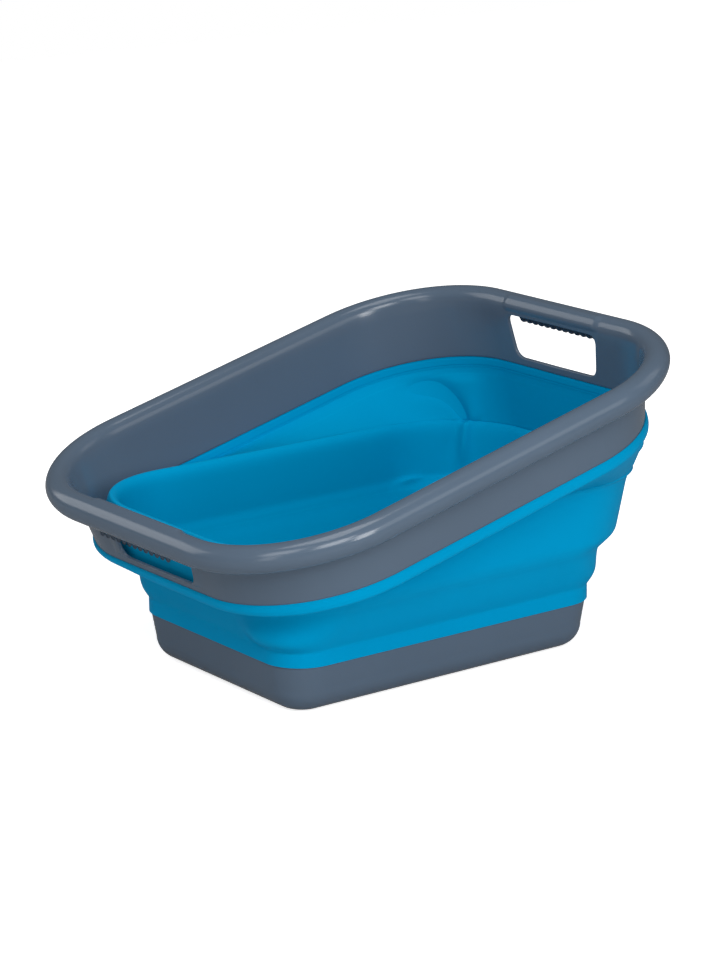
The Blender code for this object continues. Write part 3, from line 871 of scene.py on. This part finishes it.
def base_tray():
    """The grey tray: rounded foot, upright wall with a rounded edge, and a flat floor inside."""
    floor = TRAY_FOOT.grown(-TRAY_FLOOR_INSET).cornered(TRAY_FLOOR_CORNER)
    rows = [floor.loop(0, TRAY_STEPS)]
    for angle in np.linspace(0, math.pi / 2, 15):
        inset = TRAY_FOOT_RADIUS * (1 - math.sin(angle))
        rows.append(TRAY_FOOT.grown(-inset).loop(TRAY_FOOT_RADIUS * (1 - math.cos(angle)), TRAY_STEPS))
    rise = TRAY_SIZE.z - TRAY_FOOT_RADIUS
    for share in shares(9)[1:-1]:
        height = TRAY_FOOT_RADIUS + rise * share
        rows.append(TRAY_FOOT.grown(TRAY_DRAFT * share).loop(height, TRAY_STEPS))
    for angle in np.radians((0, 30, 60, 90)):
        inset = TRAY_EDGE * (1 - math.cos(angle))
        rows.append(TRAY_TOP.grown(-inset).loop(TRAY_SIZE.z - TRAY_EDGE * (1 - math.sin(angle)), TRAY_STEPS))
    for angle in np.radians((90, 60, 30, 0)):
        inset = TRAY_WALL - TRAY_EDGE * (1 - math.cos(angle))
        rows.append(TRAY_TOP.grown(-inset).loop(TRAY_SIZE.z - TRAY_EDGE * (1 - math.sin(angle)), TRAY_STEPS))
    for share in shares(9)[::-1][1:]:
        height = TRAY_FOOT_RADIUS + rise * share
        rows.append(TRAY_FOOT.grown(TRAY_DRAFT * share - TRAY_WALL).loop(height, TRAY_STEPS))
    inner_radius = TRAY_FOOT_RADIUS - TRAY_WALL
    for angle in np.linspace(math.pi / 2, 0, 15)[1:]:
        inset = TRAY_WALL + inner_radius * (1 - math.sin(angle))
        height = TRAY_FOOT_RADIUS - inner_radius * math.cos(angle)
        rows.append(TRAY_FOOT.grown(-inset).loop(height, TRAY_STEPS))
    rows.append(floor.loop(TRAY_WALL, TRAY_STEPS))
    grid = np.stack(rows)
    count, size = grid.shape[:2]
    faces = grid_faces(0, count, size, True).tolist()
    faces.append(list(range(size))[::-1])
    faces.append(list(range((count - 1) * size, count * size)))
    piece = new_piece("base_tray_moulding", grid.reshape(-1, 3), faces)
    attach(piece, "tray")
    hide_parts("base_tray")
    return piece


# Materials


def group_socket(group, name, way, kind, value=None):
    socket = group.interface.new_socket(name=name, in_out=way, socket_type=kind)
    if value is not None:
        socket.default_value = value


def grain_group():
    """Fine grain of a moulded surface, with slow changes of tone from its flow in the mould."""
    group = bpy.data.node_groups.new("moulded_grain", "ShaderNodeTree")
    group_socket(group, "Grain scale", "INPUT", "NodeSocketFloat", 900.0)
    group_socket(group, "Flow scale", "INPUT", "NodeSocketFloat", 6.0)
    group_socket(group, "Grain", "OUTPUT", "NodeSocketFloat")
    group_socket(group, "Flow", "OUTPUT", "NodeSocketFloat")
    nodes, links = group.nodes, group.links
    given = nodes.new("NodeGroupInput")
    out = nodes.new("NodeGroupOutput")
    place = nodes.new("ShaderNodeTexCoord")
    for scale, result, detail in (("Grain scale", "Grain", 2.0), ("Flow scale", "Flow", 3.0)):
        noise = nodes.new("ShaderNodeTexNoise")
        noise.inputs["Detail"].default_value = detail
        links.new(place.outputs["Object"], noise.inputs["Vector"])
        links.new(given.outputs[scale], noise.inputs["Scale"])
        links.new(noise.outputs["Fac"], out.inputs[result])
    return group


def painted_edge_highlight_group():
    """A mask of the surface's raised edges, broken up by a little noise, for a painted highlight along them.
    """
    group = bpy.data.node_groups.new("painted_edge_highlight_mask", "ShaderNodeTree")
    group_socket(group, "From", "INPUT", "NodeSocketFloat", 0.51)
    group_socket(group, "To", "INPUT", "NodeSocketFloat", 0.60)
    group_socket(group, "Edge", "OUTPUT", "NodeSocketFloat")
    nodes, links = group.nodes, group.links
    given = nodes.new("NodeGroupInput")
    out = nodes.new("NodeGroupOutput")
    shape = nodes.new("ShaderNodeNewGeometry")
    reach = nodes.new("ShaderNodeMapRange")
    reach.interpolation_type = "SMOOTHSTEP"
    place = nodes.new("ShaderNodeTexCoord")
    noise = nodes.new("ShaderNodeTexNoise")
    noise.inputs["Scale"].default_value = 60.0
    both = nodes.new("ShaderNodeMath")
    both.operation = "MULTIPLY"
    links.new(place.outputs["Object"], noise.inputs["Vector"])
    links.new(shape.outputs["Pointiness"], reach.inputs["Value"])
    links.new(given.outputs["From"], reach.inputs["From Min"])
    links.new(given.outputs["To"], reach.inputs["From Max"])
    links.new(reach.outputs["Result"], both.inputs[0])
    links.new(noise.outputs["Fac"], both.inputs[1])
    links.new(both.outputs["Value"], out.inputs["Edge"])
    return group


def ranged(nodes, links, source, low, high):
    """A node that spreads a mask over a range of values."""
    spread = nodes.new("ShaderNodeMapRange")
    spread.interpolation_type = "SMOOTHSTEP"
    spread.inputs["From Min"].default_value = 0.2
    spread.inputs["From Max"].default_value = 0.8
    spread.inputs["To Min"].default_value = low
    spread.inputs["To Max"].default_value = high
    links.new(source, spread.inputs["Value"])
    return spread.outputs["Result"]


def mixed(nodes, links, mask, under, over):
    """A colour between two others, by a mask."""
    mix = nodes.new("ShaderNodeMix")
    mix.data_type = "RGBA"
    links.new(mask, mix.inputs["Factor"])
    for socket, colour in ((mix.inputs["A"], under), (mix.inputs["B"], over)):
        if hasattr(colour, "links"):
            links.new(colour, socket)
        else:
            socket.default_value = (*colour, 1)
    return mix.outputs["Result"]


def finish_material(name, groups, colours, painted_highlight_share, rough, grain_scale, bump, constants):
    """A moulded finish: tone from slow flow, a painted highlight on raised edges, roughness and bump from the
    grain.
    """
    material = bpy.data.materials.new(name)
    material.use_nodes = True
    nodes, links = material.node_tree.nodes, material.node_tree.links
    shader = nodes["Principled BSDF"]
    grain = nodes.new("ShaderNodeGroup")
    grain.node_tree = groups["grain"]
    grain.inputs["Grain scale"].default_value = grain_scale
    painted_highlight_edges = nodes.new("ShaderNodeGroup")
    painted_highlight_edges.node_tree = groups["painted_highlight_edges"]
    flow = ranged(nodes, links, grain.outputs["Flow"], 0.0, 1.0)
    tone = mixed(nodes, links, flow, colours["deep"], colours["base"])
    # The edge mask, scaled by its share, mixes in the lighter edge colour: a painted highlight on raised
    # edges.
    edge = nodes.new("ShaderNodeMath")
    edge.operation = "MULTIPLY"
    edge.inputs[1].default_value = painted_highlight_share
    links.new(painted_highlight_edges.outputs["Edge"], edge.inputs[0])
    links.new(mixed(nodes, links, edge.outputs["Value"], tone, colours["edge"]), shader.inputs["Base Color"])
    links.new(ranged(nodes, links, grain.outputs["Flow"], rough[0], rough[1]), shader.inputs["Roughness"])
    relief = nodes.new("ShaderNodeBump")
    relief.inputs["Strength"].default_value = bump
    relief.inputs["Distance"].default_value = 0.0004
    links.new(grain.outputs["Grain"], relief.inputs["Height"])
    links.new(relief.outputs["Normal"], shader.inputs["Normal"])
    for socket, value in constants.items():
        shader.inputs[socket].default_value = value
    return material


def paint(pieces, material):
    for piece in pieces:
        piece.data.materials.clear()
        piece.data.materials.append(material)


def finishes():
    groups = {"grain": grain_group(), "painted_highlight_edges": painted_edge_highlight_group()}
    # Each finish's edge colour, lighter than its base, is a painted highlight on its raised edges.
    grey = finish_material(
        "moulded_grey_plastic",
        groups,
        {"deep": (0.090, 0.128, 0.179), "base": (0.096, 0.136, 0.190), "edge": (0.20, 0.25, 0.31)},
        0.25,
        (0.15, 0.19),
        1400.0,
        0.06,
        {"Specular IOR Level": 0.45},
    )
    # The grips' grey is darker than the rim's: painted shade of the bead's hollow they sit in. Their rougher
    # finish is their own.
    shaded_grip_grey = finish_material(
        "matte_grey_grip_painted_shade",
        groups,
        {"deep": (0.052, 0.076, 0.112), "base": (0.066, 0.094, 0.135), "edge": (0.13, 0.17, 0.22)},
        0.3,
        (0.50, 0.62),
        1800.0,
        0.15,
        {"Specular IOR Level": 0.2},
    )
    blue = finish_material(
        "satin_blue_elastomer",
        groups,
        {"deep": (0.000, 0.286, 0.545), "base": (0.000, 0.300, 0.568), "edge": (0.00, 0.38, 0.66)},
        0.3,
        (0.42, 0.50),
        2200.0,
        0.08,
        {"Specular IOR Level": 0.02, "Specular Tint": (0.02, 0.62, 1.0, 1.0)},
    )
    return grey, shaded_grip_grey, blue


# Studio


def light_rays(nodes, links):
    """The share of white that a ray sees: all of it straight from the camera or through a clear piece, and
    little of it in a reflection, as with dark boards round a studio table."""
    path = nodes.new("ShaderNodeLightPath")
    clear = nodes.new("ShaderNodeMath")
    clear.operation = "MAXIMUM"
    faint = nodes.new("ShaderNodeMath")
    faint.operation = "MULTIPLY"
    faint.inputs[1].default_value = REFLECTED_WHITE
    seen = nodes.new("ShaderNodeMath")
    seen.operation = "MAXIMUM"
    links.new(path.outputs["Is Camera Ray"], clear.inputs[0])
    links.new(path.outputs["Is Transmission Ray"], clear.inputs[1])
    links.new(path.outputs["Is Glossy Ray"], faint.inputs[0])
    links.new(clear.outputs["Value"], seen.inputs[0])
    links.new(faint.outputs["Value"], seen.inputs[1])
    return seen.outputs["Value"], path.outputs["Is Glossy Ray"]


def studio_floor():
    mesh = bpy.data.meshes.new("studio_floor")
    signs = ((-1, -1), (1, -1), (1, 1), (-1, 1))
    corners = [(x * FLOOR_HALF, y * FLOOR_HALF, -FLOOR_GAP) for x, y in signs]
    mesh.from_pydata(corners, [], [(0, 1, 2, 3)])
    floor = bpy.data.objects.new("studio_floor", mesh)
    bpy.context.scene.collection.objects.link(floor)
    material = bpy.data.materials.new("white_floor")
    material.use_nodes = True
    nodes, links = material.node_tree.nodes, material.node_tree.links
    nodes.clear()
    seen, reflected = light_rays(nodes, links)
    shade = nodes.new("ShaderNodeMapRange")
    shade.inputs["To Min"].default_value = FLOOR_SHADE
    shade.inputs["To Max"].default_value = FLOOR_SHADE * REFLECTED_FLOOR
    matte = nodes.new("ShaderNodeBsdfDiffuse")
    glow = nodes.new("ShaderNodeEmission")
    place = nodes.new("ShaderNodeTexCoord")
    far = nodes.new("ShaderNodeVectorMath")
    far.operation = "LENGTH"
    white = nodes.new("ShaderNodeMapRange")
    white.inputs["From Min"].default_value = GLOW_NEAR[0]
    white.inputs["From Max"].default_value = GLOW_FAR[0]
    white.inputs["To Min"].default_value = GLOW_NEAR[1]
    white.inputs["To Max"].default_value = GLOW_FAR[1]
    strength = nodes.new("ShaderNodeMath")
    strength.operation = "MULTIPLY"
    both = nodes.new("ShaderNodeAddShader")
    out = nodes.new("ShaderNodeOutputMaterial")
    links.new(reflected, shade.inputs["Value"])
    links.new(shade.outputs["Result"], matte.inputs["Color"])
    links.new(place.outputs["Object"], far.inputs[0])
    links.new(far.outputs["Value"], white.inputs["Value"])
    links.new(seen, strength.inputs[0])
    links.new(white.outputs["Result"], strength.inputs[1])
    links.new(strength.outputs["Value"], glow.inputs["Strength"])
    links.new(matte.outputs["BSDF"], both.inputs[0])
    links.new(glow.outputs["Emission"], both.inputs[1])
    links.new(both.outputs["Shader"], out.inputs["Surface"])
    mesh.materials.append(material)


def studio_world():
    world = bpy.data.worlds.new("studio")
    bpy.context.scene.world = world
    world.use_nodes = True
    nodes, links = world.node_tree.nodes, world.node_tree.links
    nodes.clear()
    seen, reflected = light_rays(nodes, links)
    fill = nodes.new("ShaderNodeMapRange")
    fill.inputs["To Min"].default_value = WORLD_FILL
    fill.inputs["To Max"].default_value = 0.0
    strength = nodes.new("ShaderNodeMath")
    strength.operation = "MAXIMUM"
    sky = nodes.new("ShaderNodeBackground")
    out = nodes.new("ShaderNodeOutputWorld")
    sky.inputs["Color"].default_value = (1, 1, 1, 1)
    links.new(reflected, fill.inputs["Value"])
    links.new(fill.outputs["Result"], strength.inputs[0])
    links.new(seen, strength.inputs[1])
    links.new(strength.outputs["Value"], sky.inputs["Strength"])
    links.new(sky.outputs["Background"], out.inputs["Surface"])


def studio_lights():
    for name, place, size, power in LIGHTS:
        lamp = bpy.data.lights.new(name, "AREA")
        lamp.shape = "RECTANGLE"
        lamp.size, lamp.size_y = size
        lamp.energy = power
        lamp_object = bpy.data.objects.new(name, lamp)
        lamp_object.location = place
        lamp_object.rotation_euler = (Vector(LIGHT_AIM) - Vector(place)).to_track_quat("-Z", "Y").to_euler()
        bpy.context.scene.collection.objects.link(lamp_object)


def photo_camera():
    turn, drop, roll = (math.radians(angle) for angle in (CAMERA_AZIMUTH, CAMERA_DROP, CAMERA_ROLL))
    ahead = Vector((-math.sin(turn) * math.cos(drop), math.cos(turn) * math.cos(drop), -math.sin(drop)))
    level = ahead.cross(Vector((0, 0, 1))).normalized()
    upright = level.cross(ahead)
    right = level * math.cos(roll) + upright * math.sin(roll)
    up = upright * math.cos(roll) - level * math.sin(roll)
    lens = bpy.data.cameras.new("photo_camera")
    lens.lens = CAMERA_LENS
    lens.sensor_width = 36
    lens.clip_end = 50
    camera = bpy.data.objects.new("photo_camera", lens)
    turned = Matrix((right, up, -ahead)).transposed().to_4x4()
    camera.matrix_world = Matrix.Translation(CAMERA_PLACE) @ turned
    bpy.context.scene.collection.objects.link(camera)
    bpy.context.scene.camera = camera


def build():
    grey, shaded_grip_grey, blue = finishes()
    paint([rim_frame(), base_tray()], grey)
    paint([grip(-1), grip(1)], shaded_grip_grey)
    paint(blue_wall(), blue)
    studio_floor()
    studio_world()
    studio_lights()
    photo_camera()
    bpy.context.scene.view_settings.view_transform = "Standard"


build()
